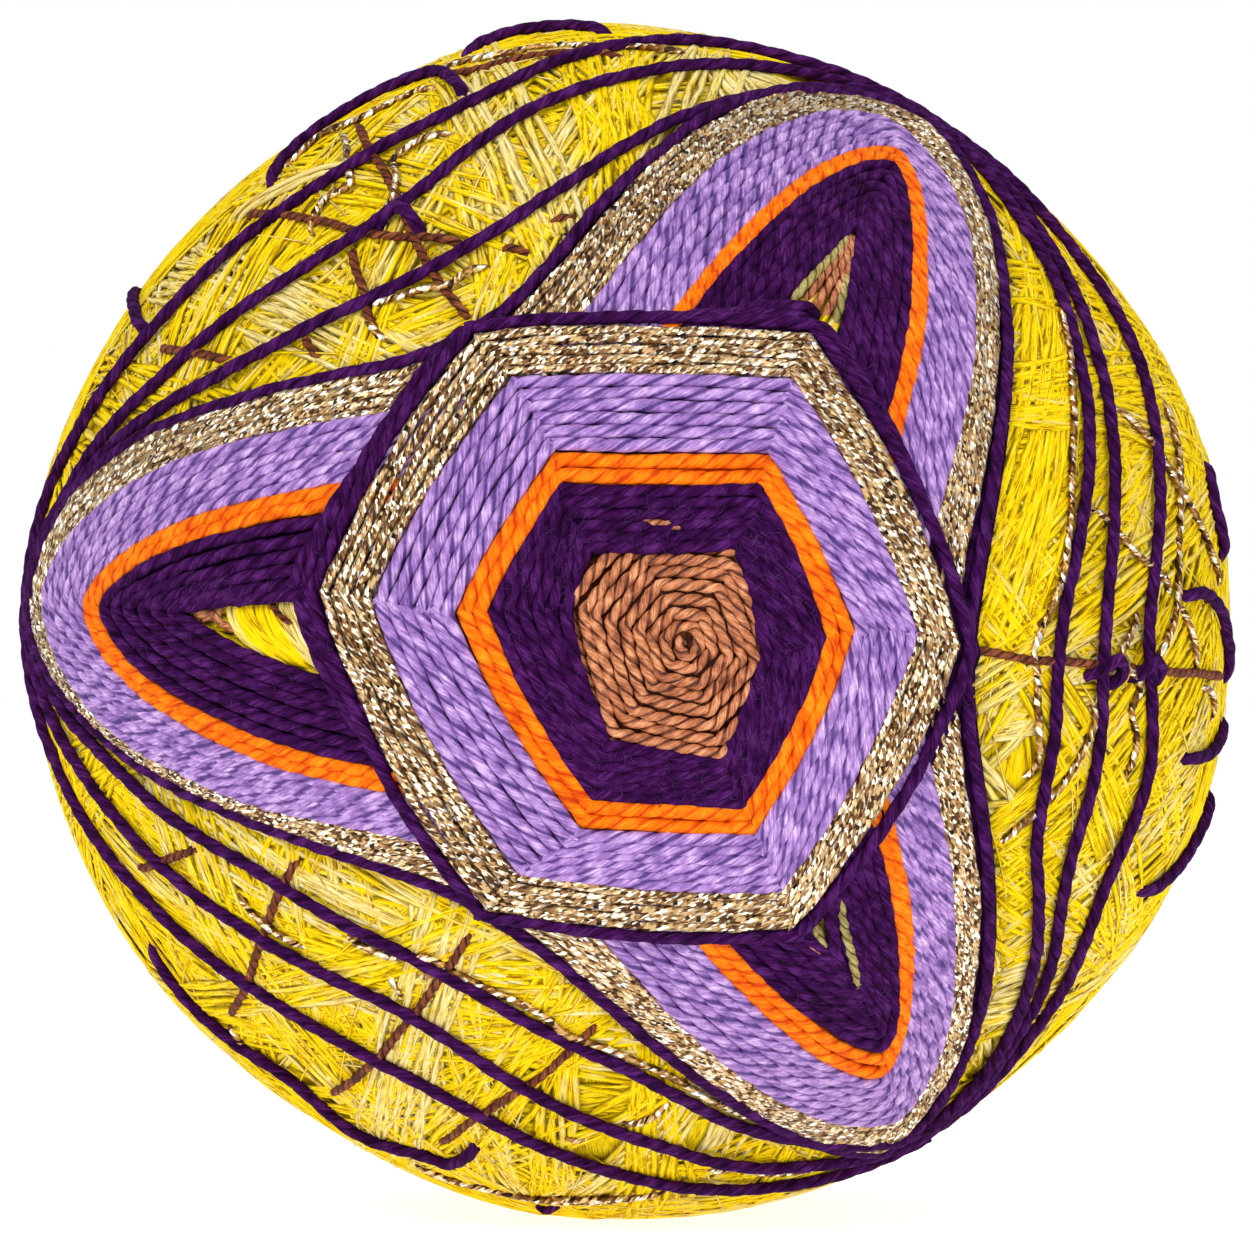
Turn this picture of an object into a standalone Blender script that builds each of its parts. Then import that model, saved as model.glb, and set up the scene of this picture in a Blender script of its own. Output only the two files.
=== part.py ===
"""Temari ball, a wound thread ball with a stitched three-petal pattern on its front and on its back.

Metres, +Z up. The ball stands on a small flat spot at the origin, and its pattern faces -Y.
A place on the ball is given as two angles about the pattern's pole: the polar angle from the
pole, and the azimuth round it, 0 to the right of the picture and 90 upwards.
"""

import math
from collections import namedtuple

import bmesh
import bpy
from mathutils import Vector

MM = 0.001
BALL_RADIUS = 40.4 * MM
FLAT_SPOT_RADIUS = 5.0 * MM
BALL_SEGMENTS = 44
BALL_RINGS = 26

THREAD = 0.8 * MM
AIR = 0.3 * MM
GROUND_LEVEL = AIR
CROSSED_LEVEL = AIR + THREAD + AIR
SIDE_GAP = 0.17 * MM
BAND_SHOULDER = 0.12

POLE_TO_THE_RIGHT = 1.2
ARM_REACH = 58.4
ARM_SPAN = 60.0
CORNER_SPACING = 60.0
TUCK_POLAR = 26.0
ARM_BEND = 1.45
HEXAGON_STRAIGHTNESS = 0.8
EYE = Vector((3.8, -1.3))
EYE_RADIUS = 0.9
DRIFT_TOWARDS = -45.0

PETAL_STEPS = 17
TIP_CROWDING = 1.6
ARM_SEARCH_STEP = 0.25
WIDE_BAND = 10.0
HEXAGON_STEPS = 30
ARC_STEPS = 14
ARC_REACH = 45.0
SHARP_EDGE = math.radians(40)
MERGE = 0.001 * MM

Lump = namedtuple("Lump", "crests height_mm crest_at")
LUMPS = (
    Lump(crests=2, height_mm=0.27, crest_at=-14),
    Lump(crests=3, height_mm=0.08, crest_at=-30),
    Lump(crests=4, height_mm=0.34, crest_at=2),
    Lump(crests=5, height_mm=0.11, crest_at=31),
    Lump(crests=6, height_mm=0.10, crest_at=-24),
    Lump(crests=9, height_mm=0.10, crest_at=18),
)

DARK_PURPLE = (0.045, 0.006, 0.09)

# Each band's outer edge: its polar angle at a petal's tip and at the hexagon's corners,
# how far the hexagon has slid off the pole, and the level of its hexagon's outer edge.
Band = namedtuple("Band", "name tip corner drift lift color")
PETAL_GAP = Band("gap", 46.0, 9.8, 3.4, 0.0, None)
BANDS = (
    Band("dark_purple", 58.0, 15.0, 2.4, 0.0, DARK_PURPLE),
    Band("orange", 61.0, 18.4, 1.9, 0.0, (0.95, 0.16, 0.01)),
    Band("lavender", 67.5, 25.4, 1.0, 1.0, (0.36, 0.20, 0.62)),
    Band("gold", 74.0, 30.4, 0.5, 1.0, (0.42, 0.25, 0.10)),
    Band("edge", 76.0, 32.2, 0.3, 1.0, DARK_PURPLE),
)

Petal = namedtuple("Petal", "name azimuth reach")
Side = namedtuple("Side", "name turned petals")
SIDES = (
    Side("front", False, (Petal("left", 178, 1.5), Petal("upper", 60, 0.0), Petal("lower", 300, -2.5))),
    Side("back", True, (Petal("right", 0, 0.0), Petal("upper", 120, 0.0), Petal("lower", 240, 0.0))),
)

# Single threads that run from one petal's tip to the next. The columns are the polar angle
# at the given azimuth from the middle of the space between the two petals.
Arc = namedtuple("Arc", "name side middle at_p45 at_p30 at_p15 at_0 at_m15 at_m30 at_m45")
ARCS = (
    Arc("right_1", "front", 0, 65.0, 54.8, 46.3, 41.2, 41.9, 46.0, 61.2),
    Arc("right_2", "front", 0, 68.0, 58.5, 51.0, 47.0, 48.4, 51.5, 64.0),
    Arc("right_3", "front", 0, 73.5, 68.0, 59.5, 54.0, 57.2, 59.0, 68.0),
    Arc("upper_1", "front", 120, 66.0, 51.3, 43.4, 40.6, 42.2, 50.0, 63.0),
    Arc("upper_2", "front", 120, 68.0, 57.8, 51.8, 50.0, 55.0, 61.7, 70.5),
    Arc("upper_3", "front", 120, 75.0, 67.2, 63.0, 60.8, 62.0, 70.0, 77.0),
    Arc("lower_1", "front", 240, 61.2, 47.5, 40.5, 39.2, 41.5, 47.5, 60.0),
    Arc("lower_2", "front", 240, 65.5, 55.0, 48.8, 46.0, 49.3, 56.5, 67.0),
    Arc("lower_3", "front", 240, 71.5, 63.0, 56.2, 54.6, 57.8, 64.5, 74.0),
    Arc("right_1", "back", 60, 62.0, 52.0, 45.0, 42.0, 45.0, 52.0, 62.0),
    Arc("upper_1", "back", 180, 62.0, 52.0, 45.0, 42.0, 45.0, 52.0, 62.0),
    Arc("lower_1", "back", 300, 62.0, 52.0, 45.0, 42.0, 45.0, 52.0, 62.0),
)
ARC_WIDTH = 1.0 * MM
ARC_SHOULDER = 0.22

WOUND_YARN_COLOR = (0.92, 0.68, 0.03)
COIL_COLOR = (0.45, 0.17, 0.07)

for old in list(bpy.data.objects):
    bpy.data.objects.remove(old, do_unlink=True)
ball_collection = bpy.data.collections.new("temari_ball")
bpy.context.scene.collection.children.link(ball_collection)


def cot(degrees):
    """Cotangent of an angle in degrees."""
    return 1 / math.tan(math.radians(degrees))


def arc_cot(value):
    """Angle in degrees, 0 to 180, whose cotangent is the value."""
    return math.degrees(math.atan2(1, value))


def thread_material(name, color):
    """A matt thread material of one colour."""
    material = bpy.data.materials.get(name) or bpy.data.materials.new(name)
    material.use_nodes = True
    shader = material.node_tree.nodes["Principled BSDF"]
    shader.inputs["Base Color"].default_value = (*color, 1)
    shader.inputs["Roughness"].default_value = 0.7
    shader.inputs["Metallic"].default_value = 0.4 if name == "gold" else 0.0
    return material


def add_node(name, data, material):
    """An object for one closed mesh, shaded smooth but for its sharp edges."""
    data.shade_smooth()
    data.set_sharp_from_angle(angle=SHARP_EDGE)
    data.materials.append(material)
    ball_collection.objects.link(bpy.data.objects.new(name, data))


def radius_towards(direction):
    """Radius of the wound ball: the mean one plus low waves round its outline."""
    around = math.atan2(direction.z, direction.x)
    swell = sum(
        lump.height_mm * math.cos(lump.crests * (around - math.radians(lump.crest_at)))
        for lump in LUMPS
    )
    return BALL_RADIUS + swell * MM * (1 - direction.y**2)


FLAT_DEPTH = BALL_RADIUS - math.sqrt(BALL_RADIUS**2 - FLAT_SPOT_RADIUS**2)
CENTRE = Vector((0, 0, radius_towards(Vector((0, 0, -1))) - FLAT_DEPTH))

tilt = math.radians(POLE_TO_THE_RIGHT)
POLE = Vector((math.sin(tilt), -math.cos(tilt), 0))
RIGHTWARDS = Vector((math.cos(tilt), math.sin(tilt), 0))
UPWARDS = Vector((0, 0, 1))


def on_ball(place, level, turned):
    """The point at a place, in degrees from the pole to the right and up, a level above the yarn.

    turned puts the same place about the opposite pole, seen through the ball.
    """
    polar = math.radians(place.length)
    sideways = place.normalized()
    along = -math.cos(polar) if turned else math.cos(polar)
    direction = POLE * along + (RIGHTWARDS * sideways.x + UPWARDS * sideways.y) * math.sin(polar)
    return CENTRE + direction * (radius_towards(direction) + level)


def place_at(azimuth, polar):
    """A place as degrees to the right and degrees up, from its azimuth and polar angle."""
    turn = math.radians(azimuth)
    return Vector((math.cos(turn), math.sin(turn))) * polar


def moved_sideways(route, distance):
    """The route's places moved across it, to its left where the distance is above zero."""
    moved = []
    for index, place in enumerate(route):
        before = route[max(index - 1, 0)]
        after = route[min(index + 1, len(route) - 1)]
        run = (after - before).normalized()
        degrees = math.degrees(distance / BALL_RADIUS)
        # A degree across the pole's rays spans less of the ball the further it is from the pole.
        outward = place.normalized()
        shrink = math.sin(math.radians(place.length)) / math.radians(place.length)
        across = Vector((-run.y, run.x))
        radial = across.dot(outward)
        around = across - outward * radial
        moved.append(place + (outward * radial + around / shrink) * degrees)
    return moved


def laid_band(name, inner, outer, levels, turned, material, closed=False, across=1, shoulder=BAND_SHOULDER):
    """A solid band lying on the ball between two routes of places.

    The profile has its two lower corners on the routes and its two upper corners drawn in by the
    shoulder, and it is carried along the routes from station to station.
    """
    shares = [step / across for step in range(across + 1)]
    profile = [(share, 0.0) for share in shares]
    profile += [(shoulder + (1 - 2 * shoulder) * share, THREAD) for share in reversed(shares)]
    count = len(profile)
    stations = len(inner)
    mesh = bmesh.new()
    bmesh.ops.create_grid(mesh, x_segments=count, y_segments=stations - 1 + closed, size=1.0)
    mesh.verts.ensure_lookup_table()
    for index, vertex in enumerate(mesh.verts):
        station, corner = divmod(index, count + 1)
        station %= stations
        share, height = profile[corner % count]
        place = inner[station].lerp(outer[station], share)
        level = levels[0] + (levels[1] - levels[0]) * share + height
        vertex.co = on_ball(place, level, turned)
    bmesh.ops.remove_doubles(mesh, verts=mesh.verts, dist=MERGE)
    if not closed:
        bmesh.ops.holes_fill(mesh, edges=mesh.edges, sides=0)
    bmesh.ops.recalc_face_normals(mesh, faces=mesh.faces)
    data = bpy.data.meshes.new(name)
    mesh.to_mesh(data)
    mesh.free()
    add_node(name, data, material)


def arm_polar(from_petal, tip, corner):
    """Polar angle along a petal's arm: a smooth fall from the tip to the hexagon's corner."""
    share = math.sin(math.radians(90 * abs(from_petal) / ARM_SPAN)) ** ARM_BEND
    return arc_cot(cot(tip) + (cot(corner) - cot(tip)) * share)


def petal_route(petal, band):
    """One edge of a band round a petal: up one arm, round the tip and down the other."""
    tip = band.tip + petal.reach * band.tip / BANDS[-1].tip
    width = 0.0
    while width < ARM_REACH and arm_polar(width, tip, band.corner) > TUCK_POLAR:
        width += ARM_SEARCH_STEP
    width = min(width, ARM_REACH)
    route = []
    for index in range(PETAL_STEPS + 1):
        share = 2 * index / PETAL_STEPS - 1
        from_petal = math.copysign(abs(share) ** TIP_CROWDING, share) * width
        route.append(place_at(petal.azimuth + from_petal, arm_polar(from_petal, tip, band.corner)))
    return route


def hexagon_route(band):
    """One edge of a band round the hexagon: six gently bowed sides between its corners."""
    half = CORNER_SPACING / 2
    route = []
    for index in range(HEXAGON_STEPS):
        azimuth = 360 * index / HEXAGON_STEPS
        from_corner = azimuth % CORNER_SPACING
        chord = math.cos(math.radians(from_corner - half)) / math.cos(math.radians(half))
        polar = arc_cot(cot(band.corner) * (1 + HEXAGON_STRAIGHTNESS * (chord - 1)))
        polar += band.drift * math.cos(math.radians(azimuth - DRIFT_TOWARDS))
        route.append(place_at(azimuth, polar))
    return route


def eye_route():
    """The small round eye in the middle of the coil."""
    return [EYE + place_at(360 * index / HEXAGON_STEPS, EYE_RADIUS) for index in range(HEXAGON_STEPS)]


def ring_moved(route, distance):
    """A closed route moved towards the pole by the distance."""
    return [place - place.normalized() * math.degrees(distance / BALL_RADIUS) for place in route]


def build_wound_ball():
    """The yarn-wound ball: a sphere with low lumps, cut flat where it stands."""
    mesh = bmesh.new()
    bmesh.ops.create_uvsphere(mesh, u_segments=BALL_SEGMENTS, v_segments=BALL_RINGS, radius=1.0)
    for vertex in mesh.verts:
        direction = vertex.co.normalized()
        vertex.co = CENTRE + direction * radius_towards(direction)
    cut = bmesh.ops.bisect_plane(
        mesh,
        geom=mesh.verts[:] + mesh.edges[:] + mesh.faces[:],
        plane_co=(0, 0, 0),
        plane_no=(0, 0, -1),
        clear_outer=True,
    )
    rim = [edge for edge in cut["geom_cut"] if isinstance(edge, bmesh.types.BMEdge)]
    bmesh.ops.holes_fill(mesh, edges=rim, sides=0)
    bmesh.ops.recalc_face_normals(mesh, faces=mesh.faces)
    data = bpy.data.meshes.new("wound_ball")
    mesh.to_mesh(data)
    mesh.free()
    add_node("wound_ball", data, thread_material("wound_yarn", WOUND_YARN_COLOR))


def build_petals(side):
    """Every band of a side's petals, stitched straight onto the wound yarn."""
    for petal in side.petals:
        inside = PETAL_GAP
        for band in BANDS:
            inner = moved_sideways(petal_route(petal, inside), -SIDE_GAP)
            outer = moved_sideways(petal_route(petal, band), SIDE_GAP)
            laid_band(
                f"{side.name}_petal_{petal.name}_{band.name}",
                inner,
                outer,
                (GROUND_LEVEL, GROUND_LEVEL),
                side.turned,
                thread_material(band.name, band.color),
                across=2 if band.tip - inside.tip > WIDE_BAND else 1,
            )
            inside = band


def build_hexagon(side):
    """The coil in the middle and the bands round it, whose outer ones cross over the petals."""
    centre = ring_moved(hexagon_route(PETAL_GAP), SIDE_GAP)
    laid_band(
        f"{side.name}_centre_coil",
        eye_route(),
        centre,
        (GROUND_LEVEL, GROUND_LEVEL),
        side.turned,
        thread_material("terracotta", COIL_COLOR),
        closed=True,
        across=2,
    )
    inside = PETAL_GAP
    for band in BANDS:
        level = [
            GROUND_LEVEL + lift * (CROSSED_LEVEL - GROUND_LEVEL) for lift in (inside.lift, band.lift)
        ]
        laid_band(
            f"{side.name}_hexagon_{band.name}",
            ring_moved(hexagon_route(inside), -SIDE_GAP),
            ring_moved(hexagon_route(band), SIDE_GAP),
            level,
            side.turned,
            thread_material(band.name, band.color),
            closed=True,
        )
        inside = band


def arc_route(arc):
    """The arc's places: its polar angles joined by a smooth curve through them."""
    polars = arc[3:]
    last = len(polars) - 1
    route = []
    for index in range(ARC_STEPS + 1):
        at = last * index / ARC_STEPS
        knot = min(int(at), last - 1)
        t = at - knot
        before, start, end, after = (polars[min(max(knot + n, 0), last)] for n in (-1, 0, 1, 2))
        bend_in = (end - before) / 2
        bend_out = (after - start) / 2
        polar = (
            start * (2 * t**3 - 3 * t**2 + 1)
            + bend_in * (t**3 - 2 * t**2 + t)
            + end * (3 * t**2 - 2 * t**3)
            + bend_out * (t**3 - t**2)
        )
        azimuth = arc.middle + ARC_REACH * (1 - 2 * index / ARC_STEPS)
        route.append(place_at(azimuth, polar))
    return route


def build_arcs(side):
    """The single threads that curve over the yarn between the petals' tips."""
    for arc in ARCS:
        if arc.side != side.name:
            continue
        route = arc_route(arc)
        laid_band(
            f"{side.name}_arc_{arc.name}",
            moved_sideways(route, -ARC_WIDTH / 2),
            moved_sideways(route, ARC_WIDTH / 2),
            (GROUND_LEVEL, GROUND_LEVEL),
            side.turned,
            thread_material("dark_purple", DARK_PURPLE),
            shoulder=ARC_SHOULDER,
        )


build_wound_ball()
for side in SIDES:
    build_petals(side)
    build_hexagon(side)
    build_arcs(side)
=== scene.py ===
"""The looks of a temari ball: yellow wound yarn, and every thread of the pattern stitched on it.

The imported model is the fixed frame. Metres, +Z up, and the pattern faces -Y. A place on the ball
is given by two angles about the pattern's pole: the polar angle from the pole, and the azimuth
round it, 0 to the right of the picture and 90 upwards.
"""

import math
from collections import namedtuple

import bpy
import numpy as np
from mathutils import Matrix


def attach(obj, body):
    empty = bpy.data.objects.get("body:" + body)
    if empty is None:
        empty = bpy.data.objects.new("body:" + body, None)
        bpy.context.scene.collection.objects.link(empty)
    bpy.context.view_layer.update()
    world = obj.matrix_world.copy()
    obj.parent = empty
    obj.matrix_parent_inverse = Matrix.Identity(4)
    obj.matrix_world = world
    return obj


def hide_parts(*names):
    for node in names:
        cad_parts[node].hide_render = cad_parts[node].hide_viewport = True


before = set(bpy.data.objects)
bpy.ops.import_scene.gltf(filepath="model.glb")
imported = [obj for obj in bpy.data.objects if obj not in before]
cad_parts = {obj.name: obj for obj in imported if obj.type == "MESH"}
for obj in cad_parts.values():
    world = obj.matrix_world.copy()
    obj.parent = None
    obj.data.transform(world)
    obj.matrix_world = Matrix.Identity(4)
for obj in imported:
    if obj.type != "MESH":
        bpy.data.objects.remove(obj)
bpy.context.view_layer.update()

# The ball's shape. The real one is wadding wound tight with yarn, so it is round but for low
# lumps and a small flat spot where it lies.

MM = 0.001
BALL_RADIUS = 40.4 * MM
FLAT_SPOT_RADIUS = 5.0 * MM
POLE_TO_THE_RIGHT = math.radians(1.2)
Lump = namedtuple("Lump", "crests height_mm crest_at")
LUMPS = (
    Lump(crests=2, height_mm=0.27, crest_at=-14),
    Lump(crests=3, height_mm=0.08, crest_at=-30),
    Lump(crests=4, height_mm=0.34, crest_at=2),
    Lump(crests=5, height_mm=0.11, crest_at=31),
    Lump(crests=6, height_mm=0.10, crest_at=-24),
    Lump(crests=9, height_mm=0.10, crest_at=18),
)


def radius_towards(direction):
    """Radius of the ball: the mean one plus each lump's cosine wave round the outline,
    which dies out towards the two poles of the pattern."""
    around = np.arctan2(direction[..., 2], direction[..., 0])
    swell = sum(
        lump.height_mm * np.cos(lump.crests * (around - math.radians(lump.crest_at)))
        for lump in LUMPS
    )
    return BALL_RADIUS + swell * MM * (1 - direction[..., 1] ** 2)


DOWN = np.array((0.0, 0.0, -1.0))
FLAT_DEPTH = BALL_RADIUS - math.sqrt(BALL_RADIUS**2 - FLAT_SPOT_RADIUS**2)
CENTRE = np.array((0.0, 0.0, float(radius_towards(DOWN)) - FLAT_DEPTH))
POLE = np.array((math.sin(POLE_TO_THE_RIGHT), -math.cos(POLE_TO_THE_RIGHT), 0.0))
RIGHTWARDS = np.array((math.cos(POLE_TO_THE_RIGHT), math.sin(POLE_TO_THE_RIGHT), 0.0))
UPWARDS = np.array((0.0, 0.0, 1.0))


def towards(azimuth, polar, turned=False):
    """Direction of a place: the pole turned away by the polar angle towards the azimuth.
    turned puts the same place about the opposite pole, seen through the ball."""
    a, p = np.radians(azimuth)[..., None], np.radians(polar)[..., None]
    along = -np.cos(p) if turned else np.cos(p)
    return POLE * along + (RIGHTWARDS * np.cos(a) + UPWARDS * np.sin(a)) * np.sin(p)


def at_level(direction, level):
    """Point over the ball in a direction: the radius there plus a level in millimetres."""
    reach = radius_towards(direction) + np.asarray(level) * MM
    return CENTRE + direction * reach[..., None]


def on_ball(azimuth, polar, level, turned=False):
    """Point over a place at a level."""
    return at_level(towards(np.asarray(azimuth, float), np.asarray(polar, float), turned), level)


# The view, the pale floor and the soft studio light. The photograph is taken level with the
# ball's middle from about half a metre, on white, with broad light from above on the left.

VIEW_DISTANCE = 475.7 * MM
VIEW_SHIFT = (-0.25 * MM, -0.15 * MM)
LENS_MM = 200
SENSOR_MM = 36
FLOOR_HALF = 3.0
PAPER_GLOW = 0.80
SKY_LIGHT = 0.44


def linear(hex_colour):
    """An sRGB hex colour as linear red, green, blue and full alpha."""
    parts = [int(hex_colour[at : at + 2], 16) / 255 for at in (1, 3, 5)]
    return (*[part / 12.92 if part <= 0.04045 else ((part + 0.055) / 1.055) ** 2.4 for part in parts], 1)


def add_node(tree, kind, inputs=None, stops=(), **properties):
    """One node of a tree: its own properties, its inputs, each a value or another node's output,
    and a colour ramp's stops."""
    node = tree.nodes.new("ShaderNode" + kind)
    for key, value in properties.items():
        setattr(node, key, value)
    for key, value in (inputs or {}).items():
        if isinstance(value, bpy.types.NodeSocket):
            tree.links.new(value, node.inputs[key])
        else:
            node.inputs[key].default_value = value
    for index, (position, hex_colour) in enumerate(stops):
        elements = node.color_ramp.elements
        stop = elements[index] if index < 2 else elements.new(position)
        stop.position, stop.color = position, linear(hex_colour)
    return node


def new_material(name, **sockets):
    """A node material, with values for its shader's sockets, given by name with underscores for
    spaces."""
    material = bpy.data.materials.new(name)
    material.use_nodes = True
    for key, value in sockets.items():
        socket = material.node_tree.nodes["Principled BSDF"].inputs[key.replace("_", " ")]
        socket.default_value = value
    return material


def joined_up(material, colour, normal):
    """The same material, with its shader's colour and normal taken from two nodes' outputs."""
    shader = material.node_tree.nodes["Principled BSDF"]
    material.node_tree.links.new(colour, shader.inputs["Base Color"])
    material.node_tree.links.new(normal, shader.inputs["Normal"])
    return material


def placed(name, data):
    """A new object of the scene that shows this data."""
    thing = bpy.data.objects.new(name, data)
    bpy.context.scene.collection.objects.link(thing)
    return thing


camera = placed("camera", bpy.data.cameras.new("camera"))
camera.data.lens = LENS_MM
camera.data.sensor_width = SENSOR_MM
camera.location = (VIEW_SHIFT[0], -VIEW_DISTANCE, CENTRE[2] + VIEW_SHIFT[1])
camera.rotation_euler = (math.radians(90), 0, 0)
bpy.context.scene.camera = camera
bpy.context.scene.view_settings.view_transform = "Standard"

floor_mesh = bpy.data.meshes.new("pale_floor")
floor_mesh.from_pydata(
    [(x * FLOOR_HALF, y * FLOOR_HALF, 0) for x, y in ((-1, -1), (1, -1), (1, 1), (-1, 1))],
    [],
    [(0, 1, 2, 3)],
)
floor_paper = new_material(
    "white_background_paper", Base_Color=linear("#dcdcdc"), Roughness=0.9,
    Emission_Color=linear("#ffffff"), Emission_Strength=PAPER_GLOW,
)
floor_mesh.materials.append(floor_paper)
placed("pale_floor", floor_mesh)

world = bpy.data.worlds.new("studio_white")
world.use_nodes = True
bpy.context.scene.world = world
sky = world.node_tree
sky.nodes["Background"].inputs["Strength"].default_value = SKY_LIGHT
sky.nodes["Background"].inputs["Color"].default_value = (1, 1, 1, 1)
paper = add_node(sky, "Background", {"Color": (1, 1, 1, 1), "Strength": 1.0})
ray = add_node(sky, "LightPath")
seen = add_node(
    sky, "MixShader",
    {0: ray.outputs["Is Camera Ray"], 1: sky.nodes["Background"].outputs[0], 2: paper.outputs[0]},
)
sky.links.new(seen.outputs[0], sky.nodes["World Output"].inputs["Surface"])

Softbox = namedtuple("Softbox", "name place size watts")
SOFTBOXES = (
    Softbox("key", (-0.36, -0.66, 0.60), 0.50, 4.8),
    Softbox("fill", (0.60, -0.60, 0.25), 0.50, 2.1),
    Softbox("top", (0.10, 0.10, 0.80), 0.40, 1.5),
)
for box in SOFTBOXES:
    lamp = bpy.data.lights.new(box.name, "AREA")
    lamp.size = box.size
    lamp.energy = box.watts
    light = placed(box.name, lamp)
    light.location = box.place
    away = np.array(box.place) - CENTRE
    light.rotation_euler = (
        math.acos(away[2] / np.linalg.norm(away)),
        0,
        math.atan2(away[1], away[0]) + math.pi / 2,
    )

# The pattern's lines, measured on the photograph for the front. Each band of rows lies between
# two of these lines, which run round the hexagon's six corners and round the tips of the three
# petals. The back isn't seen: it has the same motif, drawn even.

Corner = namedtuple("Corner", "name azimuths polars")
Petal = namedtuple("Petal", "name before after azimuths polars bends_before bends_after")
Side = namedtuple("Side", "name turned corners petals bows")
FRONT_CORNERS = (
    Corner("right", (346, 356, 358, 358, 356, 355), (10.7, 16.2, 18.9, 24.5, 28.9, 31.6)),
    Corner("upper_right", (40, 50, 54, 59, 60, 61), (10.4, 16.2, 18.8, 26, 30.9, 33)),
    Corner("upper_left", (127, 121, 117, 118, 119.8, 120.6), (7.8, 14.5, 17.3, 25.3, 30.9, 32.5)),
    Corner("left", (169, 175, 177, 175, 174, 175), (6.4, 13.9, 16.7, 24.4, 29.5, 31.2)),
    Corner("lower_left", (252, 253, 253, 243, 241, 240), (10.8, 16.2, 19, 25.1, 29.9, 31.3)),
    Corner("lower_right", (300, 299, 298, 297, 296, 297), (13.8, 18.6, 21.4, 27.3, 31.1, 33.2)),
)
FRONT_PETALS = (
    Petal(
        "left", 4, 2,
        (178, 178, 178, 177, 177, 177), (46.2, 58.2, 60.8, 70.7, 76.7, 78.2),
        (1.18, 1.5, 1.5, 1.7, 1.4, 1.4), (0.88, 1.5, 1.5, 1.52, 1.6, 1.6),
    ),
    Petal(
        "upper", 2, 0,
        (61, 61, 61, 63, 60, 60), (46.3, 58.6, 61.4, 66.6, 73.5, 75.3),
        (1.19, 1.5, 1.5, 1.7, 1.9, 1.9), (0.92, 1.25, 1.25, 1.6, 1.22, 1.22),
    ),
    Petal(
        "lower", 0, 4,
        (301, 300, 298, 298, 295, 295), (40.3, 51.4, 54.9, 64.5, 71.5, 73.2),
        (1.06, 1.35, 1.4, 1.35, 1.45, 1.6), (0.94, 1.45, 1.45, 1.5, 1.05, 1.05),
    ),
)
EVEN_CORNER_POLARS = (9.8, 15, 18.4, 25.4, 30.4, 32.2)
EVEN_TIP_POLARS = (46, 58, 61, 67.5, 74, 76)
EVEN_BENDS = (1.45,) * 6
BACK_CORNERS = tuple(
    Corner(f"at_{azimuth}", (azimuth,) * 6, EVEN_CORNER_POLARS) for azimuth in range(0, 360, 60)
)
BACK_PETALS = tuple(
    Petal(name, at + 1, (at - 1) % 6, (at * 60,) * 6, EVEN_TIP_POLARS, EVEN_BENDS, EVEN_BENDS)
    for name, at in (("right", 0), ("upper", 2), ("lower", 4))
)
FRONT_BOWS = (0.8, 1.1, 0.8, 0.8, 1.0, 0.8)
BACK_BOWS = (0.8,) * 6
SIDES = (
    Side("front", False, FRONT_CORNERS, FRONT_PETALS, FRONT_BOWS),
    Side("back", True, BACK_CORNERS, BACK_PETALS, BACK_BOWS),
)


def cot(degrees):
    """Cotangent of an angle in degrees."""
    return 1 / np.tan(np.radians(degrees))


def arc_cot(value):
    """Angle in degrees, 0 to 180, whose cotangent is the value."""
    return np.degrees(np.arctan2(1, value))


def at_line(values, line):
    """A table's value at a line, which may lie part of the way between two of them."""
    return float(np.interp(line, np.arange(len(values)), values))


def arm_route(side, petal, line, after, shares):
    """One arm of a petal at a line, from the tip, share 0, to the hexagon's corner, share 1:
    the cotangent of the polar angle climbs from the tip's to the corner's as a power of a sine."""
    corner = side.corners[petal.after if after else petal.before]
    start, end = at_line(petal.azimuths, line), at_line(corner.azimuths, line)
    end = start + (end - start + 180) % 360 - 180
    bend = at_line(petal.bends_after if after else petal.bends_before, line)
    low, high = cot(at_line(petal.polars, line)), cot(at_line(corner.polars, line))
    climb = np.sin(np.radians(90 * shares)) ** bend
    return start + (end - start) * shares, arc_cot(low + (high - low) * climb)


def side_route(side, first, line, shares):
    """One side of the hexagon at a line, from corner to corner: an even sweep between the
    corners, drawn by the side's bow towards part of a great circle."""
    a, b = side.corners[first], side.corners[(first + 1) % 6]
    start, end = at_line(a.azimuths, line), at_line(b.azimuths, line)
    end = start + (end - start + 180) % 360 - 180
    span = math.radians(end - start)
    low, high = cot(at_line(a.polars, line)), cot(at_line(b.polars, line))
    chord = (low * np.sin(span * (1 - shares)) + high * np.sin(span * shares)) / math.sin(span)
    even = low + (high - low) * shares
    return start + (end - start) * shares, arc_cot(even + side.bows[first] * (chord - even))


# The wound ball. Fine fuzzy acrylic yarn is wound over the wadding at random, in passes of some ten
# strands side by side, until nothing shows through. Levels are in millimetres over the ball, and
# shifts, drifts and a wisp's reach in radians round it.

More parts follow.
